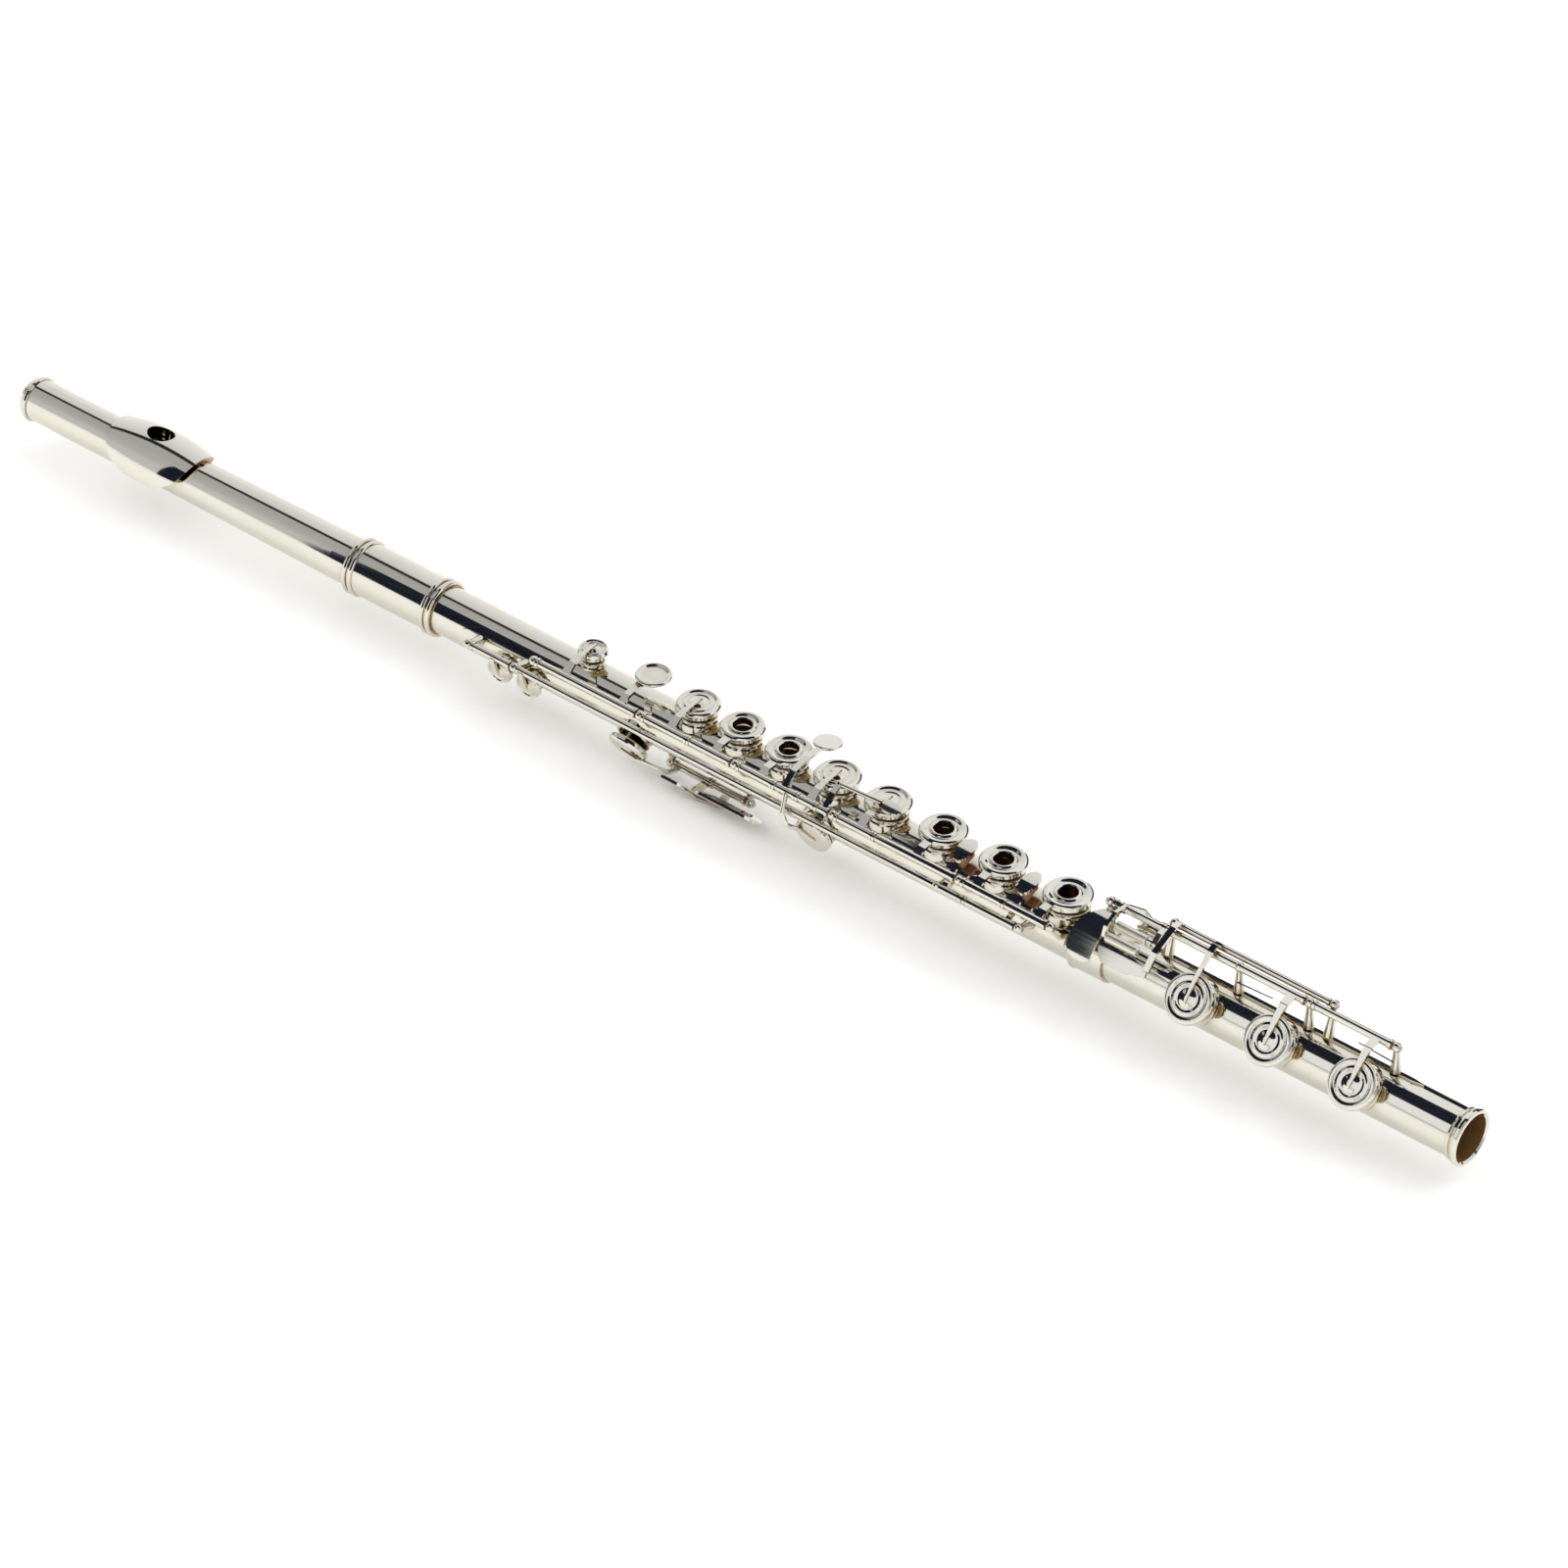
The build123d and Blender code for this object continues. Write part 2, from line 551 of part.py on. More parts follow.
def build_low_c_sharp_key():
    """The low C sharp key, on the upper steel, its arms reaching over the lower one."""
    hinge = hinge_place(UPPER_PHI, UPPER_R)
    y, z = hinge
    start, end = 503.8, 573.2
    cup_top = SEAT_R + CUP_HEIGHT
    over = [(22.9, 10.2), (22.0, 13.2), (19.0, 14.5), (8.0, cup_top + 0.35), (-1.6, cup_top + 0.25)]
    cup, pad = build_foot_cup_key(FOOT_CUPS[0], UPPER_PHI, UPPER_R, over)
    arm = strap(505.4, [(y, z + 0.9), (1.0, 26.0), (-2.6, 25.4), (-12.5, 18.2), (-15.8, 12.2)], 1.2, 2.6)
    plate = shell(482.4, 505.6, 47.5, 68, 18.4, 19.5)
    corners = [(482.4, 4.0), (497.0, 4.0), (505.6, 1.8), (505.6, -0.9), (499.0, -2.6)]
    outline = [Line(a, b) for a, b in zip(corners, corners[1:])]
    outline.append(ThreePointArc((499.0, -2.6), (490.0, -4.6), (482.4, 4.0)))
    plate &= Rot(58, 0, 0) * extrude(make_face(outline), amount=40)
    bore = bar_x(start - 2, end + 2, UPPER_STEEL_R + RUNNING, *hinge)
    key = (cup + arm - bore) + plate
    key += hinge_tube(start, end, hinge, UPPER_TUBE_R, UPPER_STEEL_R + RUNNING, UPPER_TUBE_R + 0.2)
    return close_to_rest(key, hinge), close_to_rest(pad, hinge)


def close_to_rest(part, hinge):
    """Move a foot key from shut to standing open."""
    return swing(part, hinge, -FOOT_OPEN_ANGLE)


def build_foot_d_sharp_key():
    """The D sharp key: a shut cup behind the steel, and a large petal in front of it."""
    hinge = hinge_place(FOOT_PHI, FOOT_R)
    start, end = 477.2, 481.0
    cup = seat_frame(FOOT_D_SHARP_X, FOOT_D_SHARP_PHI) * plateau_cup(8.2)
    outer = SEAT_R + CUP_HEIGHT
    middle = point(484.0, -30, 19.2)
    arm = stick(point(479.2, -4, FOOT_R - 0.6), middle, 1.3, 1.2) + ball(middle, 1.2)
    arm += stick(middle, point(FOOT_D_SHARP_X + 1, FOOT_D_SHARP_PHI - 2, outer + 0.4), 1.2, 0.9)
    petal = shell(465.5, 481.0, 6, 74, 19.0, 20.1)
    outline = [
        ThreePointArc((480.9, -10.6), (475.5, -12.4), (469.6, -9.4)),
        ThreePointArc((469.6, -9.4), (470.0, 2.0), (477.6, 11.9)),
        Line((477.6, 11.9), (480.9, 11.9)),
        Line((480.9, 11.9), (480.9, -10.6)),
    ]
    petal &= Rot(37, 0, 0) * extrude(make_face(outline), amount=40)
    root = strap(479.2, [(0.0, 23.0), (-2.0, 20.6)], 1.6, 3.2)
    bore = bar_x(start - 1, end + 1, STEEL_R + RUNNING, *hinge)
    key = cup + (arm + petal + root - bore) + hinge_tube(start, end, hinge)
    pad = seat_frame(FOOT_D_SHARP_X, FOOT_D_SHARP_PHI) * pad_disc(8.2)
    return key, pad


def ball_post(x, base_phi, phi, radius, hole_radius, base_radius=TUBE_R):
    """A tapered post with a ball that carries a steel."""
    foot = Vector(*point(x, base_phi, base_radius + 0.1))
    centre = Vector(*point(x, phi, radius))
    length = (centre - foot).length
    neck = length - math.sqrt(POST_BALL_R**2 - POST_NECK_R**2)
    outline = [
        Line((0, 0, 0), (POST_FOOT_R, 0, 0)),
        Line((POST_FOOT_R, 0, 0), (POST_NECK_R, 0, neck)),
        ThreePointArc((POST_NECK_R, 0, neck), (POST_BALL_R, 0, length), (0, 0, length + POST_BALL_R)),
        Line((0, 0, length + POST_BALL_R), (0, 0, 0)),
    ]
    post = revolve(make_face(outline), Axis.Z, 360)
    placed = Plane(origin=foot, x_dir=(1, 0, 0), z_dir=centre - foot).location * post
    return placed - bar_x(x - 3, x + 3, hole_radius, centre.Y, centre.Z)


def group(pieces):
    """Separate solids kept together in one piece."""
    return Compound(children=[solid for piece in pieces for solid in piece.solids()])


def head_outline(offset):
    """The headjoint's taper, as (x, radius) points."""
    taper = [(HEAD_START, HEAD_NARROW_R), (0.0, HEAD_NARROW_R + 0.08), (45.0, HEAD_NARROW_R + 0.5),
             (TAPER_END, HEAD_TENON_R), (HEAD_END, HEAD_TENON_R)]
    return [(x, radius - offset) for x, radius in taper]


def turned_x(points):
    """A solid of revolution about the flute's axis, from (x, radius) points down to the axis."""
    first = points[0][0]
    last = points[-1][0]
    corners = [(first, 0, 0)] + [(x, 0, radius) for x, radius in points] + [(last, 0, 0)]
    return revolve(make_face(Polyline(*corners, close=True)), Axis.X, 360)


def blowing_hole():
    return extrude(Ellipse(HOLE_HALF_X, HOLE_HALF_Y), amount=30)


def plate_solid(top):
    """What lies under the lip plate's surface, bent round the tube and arched along it."""
    centre_z = PLATE_TOP - PLATE_BEND_R
    half = PLATE_HALF_LENGTH + 1
    drop = half * half / (2 * PLATE_ARCH_R)
    arch = ThreePointArc((-half, 0, top - drop), (0, 0, top), (half, 0, top - drop))
    sides = Polyline((-half, 0, top - drop), (-half, 0, centre_z), (half, 0, centre_z), (half, 0, top - drop))
    return revolve(make_face([arch, *sides.edges()]), Axis((0, 0, centre_z), (1, 0, 0)), 360)


def plate_outline():
    """The lip plate's rounded outline as seen from the side, as a cutting prism."""
    centre_z = PLATE_TOP - PLATE_BEND_R
    edge = []
    for step in range(PLATE_OUTLINE_STEPS + 1):
        turn = math.pi * step / PLATE_OUTLINE_STEPS
        along = abs(math.cos(turn)) ** (2 / PLATE_SQUARENESS) * math.copysign(1, math.cos(turn))
        wrap = math.sin(turn) ** (2 / PLATE_SQUARENESS) if 0 < step < PLATE_OUTLINE_STEPS else 0
        height = centre_z + PLATE_BEND_R * math.cos(math.radians(PLATE_WRAP * wrap))
        edge.append((PLATE_HALF_LENGTH * along, 0, height))
    above = PLATE_TOP + 3
    sides = Polyline(edge[-1], (edge[-1][0], 0, above), (edge[0][0], 0, above), edge[0])
    side_view = make_face([Spline(*edge), *sides.edges()])
    return extrude(side_view, amount=20, both=True)


def build_head():
    """Headjoint tube, riser and lip plate."""
    tube = turned_x(head_outline(0)) - turned_x([(x, r) for x, r in stretched(head_outline(HEAD_WALL))])
    tube -= blowing_hole()
    plate = (plate_solid(PLATE_TOP) - plate_solid(PLATE_TOP - PLATE_THICKNESS)) & plate_outline()
    plate -= blowing_hole()
    riser = Pos(0, 0, 5) * extrude(Ellipse(HOLE_HALF_X + 1.3, HOLE_HALF_Y + 1.3), amount=20)
    riser = (riser & plate_solid(PLATE_TOP - PLATE_THICKNESS)) - turned_x(head_outline(0)) - blowing_hole()
    return tube, riser, plate


def stretched(points):
    """The same outline, run past both ends, for cutting."""
    (x0, r0), (x1, r1) = points[0], points[-1]
    return [(x0 - 5, r0)] + points + [(x1 + 5, r1)]


def build_crown():
    """The end cap with its bead and low dome, and a threaded boss inside."""
    skirt_r = HEAD_NARROW_R - HEAD_WALL - 0.06
    cap = turned_x([
        (CROWN_END, 2.0), (CROWN_END + 0.25, 4.6), (CROWN_END + 1.1, 7.0), (CROWN_END + 2.4, 8.4),
        (CROWN_END + 3.8, 9.0), (HEAD_START - 2.3, 9.1), (HEAD_START - 2.1, 9.0), (HEAD_START - 1.8, 9.5),
        (HEAD_START - 1.1, 9.8), (HEAD_START - 0.4, 9.5),
        (HEAD_START - 0.15, 9.0), (HEAD_START - 0.15, skirt_r),
        (HEAD_START + 6.0, skirt_r),
    ])
    cap -= bar_x(CROWN_END + 3.0, HEAD_START + 7, skirt_r - 1.0)
    boss = bar_x(CROWN_END + 2.0, HEAD_START + 5, 3.4)
    return cap + boss - bar_x(CROWN_END + 3.0, HEAD_START + 8, STEM_R + RUNNING)


def build_stopper():
    """Threaded stem with its inner disc, the cork, and the disc nut."""
    stem = bar_x(CROWN_END + 4.5, CORK_FACE, STEM_R)
    for turn in range(12):
        stem += bead_x(CORK_FACE - 24.5 - 1.6 * turn, STEM_R - 0.32, 0.3)
    disc = bar_x(CORK_FACE - 1.2, CORK_FACE, 8.3)
    cork = tube_x(CORK_FACE - 19.2, CORK_FACE - 1.2, 8.35, STEM_R)
    nut = tube_x(CORK_FACE - 21.2, CORK_FACE - 19.2, 6.5, STEM_R)
    return stem + disc, cork, nut


def build_barrel():
    barrel = bar_x(BARREL_START, BARREL_END, BARREL_R)
    for x in (BARREL_START + 0.8, BARREL_START + 3.7, BARREL_END - 3.7, BARREL_END - 0.8):
        barrel += bead_x(x, BARREL_R - 0.1, 1.1)
    return barrel - bar_x(BARREL_START - 2, BARREL_END + 2, TUBE_R)


def build_foot_tube():
    """Foot tube with its socket, rings and chimneys."""
    tube = bar_x(FOOT_TUBE_START, FOOT_END - 0.6, TUBE_R) + bar_x(SOCKET_START, SOCKET_END, SOCKET_R)
    tube += bead_x(SOCKET_START + 0.9, SOCKET_R - 0.4, 0.9) + bead_x(SOCKET_END - 0.6, SOCKET_R - 0.6, 0.6)
    tube += turned_x([
        (FOOT_END - 5.4, TUBE_R), (FOOT_END - 5.0, 10.5), (FOOT_END - 4.5, 10.7), (FOOT_END - 4.0, 10.5),
        (FOOT_END - 3.6, TUBE_R + 0.1), (FOOT_END - 3.0, TUBE_R + 0.2), (FOOT_END - 2.6, 11.0),
        (FOOT_END - 1.9, 11.4), (FOOT_END - 1.0, 11.5), (FOOT_END - 0.3, 11.2), (FOOT_END, 10.7),
    ])
    holes = [(x, FOOT_TONE_PHI, FOOT_HOLE_R) for x in FOOT_CUPS] + [(FOOT_D_SHARP_X, FOOT_D_SHARP_PHI, 6.6)]
    tube = drilled_tube(tube, holes)
    tube -= turned_x([(FOOT_END - 0.8, BORE_R), (FOOT_END + 0.1, BORE_R + 0.7)])
    return tube - bar_x(SOCKET_START - 2, BODY_END + 0.4, TUBE_R + RUNNING)


def build_body_tube():
    tube = bar_x(BODY_START, BODY_END, TUBE_R)
    holes = [(row[0], 0, row[2]) for row in STACK.values()]
    holes.append((C_SHARP_X, 0, C_SHARP_HOLE_R))
    holes.append((THUMB_X, THUMB_TONE_PHI, THUMB_HOLE_R))
    holes.append((G_SHARP_X, G_SHARP_TONE_PHI, 6.6))
    holes += [(x, TRILL_TONE_PHI, TRILL_HOLE_R) for x in TRILL_CUPS]
    return drilled_tube(tube, holes)


def rib(start, end, phi_low, phi_high, point_length):
    """A strap soldered along the tube, pointed at its first end."""
    plate = shell(start, end, phi_low, phi_high, TUBE_R, TUBE_R + 0.8)
    middle = (phi_low + phi_high) / 2
    half = TUBE_R * math.sin(math.radians((phi_high - phi_low) / 2)) + 1
    shoulder = start + point_length
    corners = [(start, 0), (shoulder, half), (end + 1, half), (end + 1, -half), (shoulder, -half)]
    return plate & (Rot(middle, 0, 0) * extrude(make_face(Polyline(*corners, close=True)), amount=20))


def needle_spring(x, phi, radius, length):
    """A straight wire spring that leaves a post and runs beneath a hinge tube."""
    return stick(point(x, phi, radius), point(x + length, phi - 1.5, radius + 0.5), 0.3, 0.2)


def body_static():
    """The body's fixed furniture, by name."""
    nodes = {"body_tube": build_body_tube(), "barrel": build_barrel()}
    ribs = [rib(168.0, 463.6, 59, 83, 9.0), rib(262.0, 314.0, 165, 183, 5.0)]
    holes = [(G_SHARP_X, G_SHARP_TONE_PHI, 9.2), *[(x, TRILL_TONE_PHI, 6.0) for x in TRILL_CUPS]]
    cut_ribs = ribs[0]
    for x, phi, radius in holes:
        cut_ribs -= tone_hole(x, phi, radius)
    nodes["key_ribs"] = group([cut_ribs, ribs[1]])
    posts = [ball_post(x, 64, MAIN_PHI, MAIN_R, STEEL_R + 0.02, TUBE_R + 0.8) for x in MAIN_POSTS]
    for x in TRILL_POSTS:
        through = TRILL_TUBE_R if x == TRILL_POSTS[2] else TRILL_STEEL_R
        posts.append(ball_post(x, 75, TRILL_PHI, TRILL_R, through + RUNNING, TUBE_R + 0.8))
    posts += [ball_post(x, 174, THUMB_PHI, THUMB_R, STEEL_R + 0.02, TUBE_R + 0.8) for x in THUMB_POSTS]
    nodes["body_posts"] = group(posts)
    main = hinge_place(MAIN_PHI, MAIN_R)
    nodes["left_hand_steel"] = bar_x(MAIN_POSTS[0] - 1.9, MAIN_POSTS[3], STEEL_R, *main)
    nodes["right_hand_steel"] = bar_x(MAIN_POSTS[3] + 0.02, MAIN_POSTS[-1] + 1.9, STEEL_R, *main)
    thumb = hinge_place(THUMB_PHI, THUMB_R)
    nodes["thumb_steel"] = bar_x(THUMB_POSTS[0] - 1.9, THUMB_POSTS[1] + 1.9, STEEL_R, *thumb)
    springs = [needle_spring(x, 61.5, 14.6, length) for x, length in
               ((209.9, 17), (263.1, 16), (310.0, 16), (357.6, 16), (418.1, 15), (461.1, -15))]
    nodes["body_springs"] = group(springs)
    return nodes


def foot_static():
    """The foot's fixed furniture, by name."""
    nodes = {"foot_tube": build_foot_tube()}
    pointed_at_start = rib(-618.0, -499.5, -17, -4, 9.0)
    nodes["foot_rib"] = mirror(pointed_at_start, about=Plane.YZ)
    posts = []
    for x in FOOT_POSTS:
        base = SOCKET_R if x < SOCKET_END else TUBE_R + 0.8
        through = HINGE_TUBE_R if x == FOOT_POSTS[1] else STEEL_R
        posts.append(ball_post(x, -8, FOOT_PHI, FOOT_R, through + RUNNING, base))
    for x in UPPER_POSTS:
        posts.append(ball_post(x, -11, UPPER_PHI, UPPER_R, UPPER_STEEL_R + 0.02, TUBE_R + 0.8))
    nodes["foot_posts"] = group(posts)
    upper = hinge_place(UPPER_PHI, UPPER_R)
    nodes["upper_foot_steel"] = bar_x(UPPER_POSTS[0] - 1.6, UPPER_POSTS[1] + 1.9, UPPER_STEEL_R, *upper)
    nodes["foot_springs"] = group([needle_spring(534.6, 2.5, 15.6, 16), needle_spring(605.5, 2.5, 15.6, -16)])
    return nodes


def build_all():
    nodes = {}
    nodes["head_tube"], nodes["embouchure_riser"], nodes["lip_plate"] = build_head()
    nodes["crown"] = build_crown()
    nodes["stopper_screw"], nodes["stopper_cork"], nodes["stopper_nut"] = build_stopper()
    nodes.update(body_static())
    nodes.update(foot_static())
    for name, (x, cup_radius, _, ring, *places) in STACK.items():
        nodes[name + "_key"], nodes[name + "_pad"] = build_stack_key(x, cup_radius, ring, *places)
    nodes["c_sharp_key"], nodes["c_sharp_pad"] = build_c_sharp_key()
    nodes["g_sharp_key"], nodes["g_sharp_pad"] = build_g_sharp_key()
    nodes["side_b_flat_lever"] = build_side_lever()
    nodes["d_sharp_trill_key"], nodes["d_sharp_trill_pad"] = build_trill_key(
        TRILL_CUPS[0], TRILL_TOUCHES[0], ((179.4, 198.9), (421.5, 445.5)), TRILL_STEEL_R)
    nodes["d_trill_key"], nodes["d_trill_pad"] = build_trill_key(
        TRILL_CUPS[1], TRILL_TOUCHES[1], ((202.7, 421.1),), TRILL_STEEL_R + RUNNING)
    trill = hinge_place(TRILL_PHI, TRILL_R)
    nodes["trill_steel"] = bar_x(TRILL_POSTS[0] - 1.9, TRILL_POSTS[3] + 1.9, TRILL_STEEL_R, *trill)
    nodes["thumb_key"], nodes["thumb_pad"], nodes["thumb_b_flat_lever"] = build_thumb_keys()
    nodes["low_c_key"], nodes["low_c_pad"] = build_low_c_key()
    nodes["low_b_key"], nodes["low_b_pad"] = build_low_b_key()
    foot = hinge_place(FOOT_PHI, FOOT_R)
    nodes["foot_steel"] = bar_x(FOOT_POSTS[0] - 1.9, FOOT_POSTS[3] + 1.9, STEEL_R, *foot)
    nodes["low_c_sharp_key"], nodes["low_c_sharp_pad"] = build_low_c_sharp_key()
    nodes["foot_d_sharp_key"], nodes["foot_d_sharp_pad"] = build_foot_d_sharp_key()
    nodes["low_c_roller"] = close_to_rest(roller(ROLLER_PHIS[0]), foot)
    nodes["low_b_roller"] = close_to_rest(roller(ROLLER_PHIS[1]), foot)
    return nodes


def main():
    os.makedirs("parts", exist_ok=True)
    for name, part in build_all().items():
        export_step(Pos(SHIFT_X, SHIFT_Y, SHIFT_Z) * part, f"parts/{name}.step")


main()
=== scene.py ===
import json
import math

import bmesh
import bpy
from mathutils import Matrix, Vector


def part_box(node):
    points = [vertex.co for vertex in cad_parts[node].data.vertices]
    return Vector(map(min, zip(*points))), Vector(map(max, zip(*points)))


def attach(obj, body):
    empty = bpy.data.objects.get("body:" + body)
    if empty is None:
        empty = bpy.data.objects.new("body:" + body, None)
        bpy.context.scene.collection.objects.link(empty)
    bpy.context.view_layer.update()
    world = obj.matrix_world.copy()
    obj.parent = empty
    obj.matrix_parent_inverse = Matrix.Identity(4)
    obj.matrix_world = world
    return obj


# Looks of the concert flute. Lengths are metres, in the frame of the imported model:
# +X towards the foot, +Z up, -Y the player's side, origin under the middle of the flute.

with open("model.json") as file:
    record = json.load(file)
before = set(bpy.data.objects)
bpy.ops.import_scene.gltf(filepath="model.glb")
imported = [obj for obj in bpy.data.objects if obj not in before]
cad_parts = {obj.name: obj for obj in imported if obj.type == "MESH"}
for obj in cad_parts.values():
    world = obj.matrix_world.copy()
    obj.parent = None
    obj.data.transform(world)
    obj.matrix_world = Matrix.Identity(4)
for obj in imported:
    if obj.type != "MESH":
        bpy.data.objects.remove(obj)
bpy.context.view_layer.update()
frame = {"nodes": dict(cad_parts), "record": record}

# Where the model's tube axis runs, read from the barrel's own box
TUBE_LOW, TUBE_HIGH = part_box("barrel")
AXIS_Y = (TUBE_LOW[1] + TUBE_HIGH[1]) / 2
AXIS_Z = (TUBE_LOW[2] + TUBE_HIGH[2]) / 2

# Camera: where it stands, where it looks, and the top of its picture
CAMERA_PLACE = (1.57029, AXIS_Y - 2.11586, AXIS_Z + 1.75600)
CAMERA_FORWARD = (-0.48728364, 0.67195641, -0.55769997)
CAMERA_UP = (-0.40043503, 0.39560486, 0.82653803)
SENSOR = 36.0
LENS = 189.866


def new_material(name):
    material = bpy.data.materials.new(name)
    material.use_nodes = True
    tree = material.node_tree
    return material, tree, tree.nodes["Principled BSDF"]


def add(tree, kind, **values):
    """Add a node and set its inputs by name, or its own settings where there is no such input."""
    node = tree.nodes.new(kind)
    for key, value in values.items():
        label = key.replace("_", " ")
        if label in node.inputs:
            node.inputs[label].default_value = value
        else:
            setattr(node, key, value)
    return node


def ramp(tree, source, stops):
    """A colour ramp from (place, colour) stops."""
    node = tree.nodes.new("ShaderNodeValToRGB")
    elements = node.color_ramp.elements
    while len(elements) < len(stops):
        elements.new(0.5)
    for element, (place, colour) in zip(elements, stops):
        element.position = place
        element.color = (*colour, 1.0)
    tree.links.new(source, node.inputs["Fac"])
    return node.outputs["Color"]


def noise(tree, scale, detail=4.0, stretch=(1.0, 1.0, 1.0), roughness=0.55):
    """Noise on the object's own coordinates."""
    place = tree.nodes.new("ShaderNodeTexCoord")
    mapping = add(tree, "ShaderNodeMapping")
    mapping.inputs["Scale"].default_value = stretch
    texture = add(tree, "ShaderNodeTexNoise", Scale=scale, Detail=detail, Roughness=roughness)
    tree.links.new(place.outputs["Object"], mapping.inputs["Vector"])
    tree.links.new(mapping.outputs["Vector"], texture.inputs["Vector"])
    return texture.outputs["Fac"]


def remapped(tree, source, low, high, from_low=0.3, from_high=0.7):
    node = tree.nodes.new("ShaderNodeMapRange")
    node.inputs["From Min"].default_value = from_low
    node.inputs["From Max"].default_value = from_high
    node.inputs["To Min"].default_value = low
    node.inputs["To Max"].default_value = high
    tree.links.new(source, node.inputs["Value"])
    return node.outputs["Result"]


def mixed(tree, factor, first, second, mode="MIX"):
    """Mix two colours. Each is an output or a plain colour."""
    node = tree.nodes.new("ShaderNodeMix")
    node.data_type = "RGBA"
    node.blend_type = mode
    tree.links.new(factor, node.inputs[0])
    for socket, value in ((node.inputs[6], first), (node.inputs[7], second)):
        if isinstance(value, tuple):
            socket.default_value = (*value, 1.0)
        else:
            tree.links.new(value, socket)
    return node.outputs[2]


def bump(tree, shader, source, strength, distance):
    node = add(tree, "ShaderNodeBump", Strength=strength, Distance=distance)
    tree.links.new(source, node.inputs["Height"])
    tree.links.new(node.outputs["Normal"], shader.inputs["Normal"])


def polished_silver(name, bright, tarnish, crease_tarnish_and_shade, roughness, reach=0.0045, bore=None):
    """Plated silver: near-mirror, fine wipe marks along the tube, darker and warmer in hollows: partly
    tarnish where cloth can't reach, partly painted shade and painted reflection of the pads.
    """
    material, tree, shader = new_material(name)
    cloud = noise(tree, 34.0, 3.0)
    wiped = noise(tree, 900.0, 5.0, (0.06, 1.0, 1.0))
    worn = mixed(tree, remapped(tree, cloud, 0.0, 0.35), bright, tarnish)
    # Darker and warmer where occlusion is high: partly tarnish, partly painted shade in the hollows and
    # painted reflection of the pads.
    hollow_tarnish_and_shade = add(tree, "ShaderNodeAmbientOcclusion", Distance=reach, samples=6)
    colour = mixed(tree, remapped(tree, hollow_tarnish_and_shade.outputs["AO"], 0.0, 1.0, 0.3, 0.92), crease_tarnish_and_shade, worn)
    shader.inputs["Metallic"].default_value = 1.0
    if bore:
        colour, inside = bore_tarnish_and_shade(tree, colour, bore)
        tree.links.new(remapped(tree, inside, 1.0, 0.25, 0.0, 1.0), shader.inputs["Metallic"])
    tree.links.new(colour, shader.inputs["Base Color"])
    tree.links.new(remapped(tree, wiped, roughness * 0.7, roughness * 1.5), shader.inputs["Roughness"])
    bump(tree, shader, wiped, 0.03, 0.00002)
    return material


def bore_tarnish_and_shade(tree, colour, radius):
    """Brown and darken the inside of a tube: everything closer to the flute's axis than the bore's wall.
    The colour is partly tarnish, partly painted shade inside the bore.
    """
    place = tree.nodes.new("ShaderNodeTexCoord")
    apart = add(tree, "ShaderNodeVectorMath", operation="SUBTRACT")
    apart.inputs[1].default_value = (0.0, AXIS_Y, AXIS_Z)
    tree.links.new(place.outputs["Object"], apart.inputs[0])
    across = add(tree, "ShaderNodeVectorMath", operation="MULTIPLY")
    across.inputs[1].default_value = (0.0, 1.0, 1.0)
    tree.links.new(apart.outputs["Vector"], across.inputs[0])
    reach = add(tree, "ShaderNodeVectorMath", operation="LENGTH")
    tree.links.new(across.outputs["Vector"], reach.inputs[0])
    inside = add(tree, "ShaderNodeMath", operation="LESS_THAN")
    tree.links.new(reach.outputs["Value"], inside.inputs[0])
    inside.inputs[1].default_value = radius
    film = noise(tree, 180.0, 5.0, (0.4, 1.0, 1.0))
    # Dark colour inside the bore: partly tarnish, partly painted shade of the tube's inside.
    brown = mixed(tree, film, (0.13, 0.065, 0.02), (0.27, 0.15, 0.055))
    return mixed(tree, inside.outputs[0], colour, brown), inside.outputs[0]


def ground_steel():
    """Steel rod ground round its length."""
    material, tree, shader = new_material("ground_steel")
    grain = noise(tree, 1400.0, 4.0, (2.0, 0.2, 0.2))
    tree.links.new(mixed(tree, grain, (0.36, 0.36, 0.37), (0.6, 0.6, 0.61)), shader.inputs["Base Color"])
    shader.inputs["Metallic"].default_value = 1.0
    tree.links.new(remapped(tree, grain, 0.16, 0.3), shader.inputs["Roughness"])
    bump(tree, shader, grain, 0.06, 0.00002)
    return material


def blued_steel():
    """Needle-spring wire, tempered blue with a straw tint in places."""
    material, tree, shader = new_material("blued_steel")
    patches = noise(tree, 260.0, 3.0)
    blue, pale_blue, straw = (0.05, 0.07, 0.16), (0.1, 0.12, 0.24), (0.3, 0.2, 0.1)
    colour = ramp(tree, patches, [(0.35, blue), (0.52, pale_blue), (0.7, straw)])
    tree.links.new(colour, shader.inputs["Base Color"])
    shader.inputs["Metallic"].default_value = 1.0
    tree.links.new(remapped(tree, patches, 0.2, 0.34), shader.inputs["Roughness"])
    return material


def pad_skin():
    """Thin yellow skin drawn over felt: faint wrinkles and darker handling."""
    material, tree, shader = new_material("pad_skin")
    wrinkles = noise(tree, 700.0, 6.0, (1.0, 1.0, 1.6), 0.65)
    stain = noise(tree, 120.0, 3.0)
    deep, tan, pale = (0.41, 0.30, 0.09), (0.62, 0.47, 0.18), (0.76, 0.62, 0.32)
    skin = ramp(tree, wrinkles, [(0.3, deep), (0.5, tan), (0.72, pale)])
    handled = mixed(tree, remapped(tree, stain, 0.0, 0.6), skin, (0.43, 0.30, 0.10))
    tree.links.new(handled, shader.inputs["Base Color"])
    tree.links.new(remapped(tree, wrinkles, 0.3, 0.55), shader.inputs["Roughness"])
    shader.inputs["Sheen Weight"].default_value = 0.2
    bump(tree, shader, wrinkles, 0.35, 0.00012)
    return material


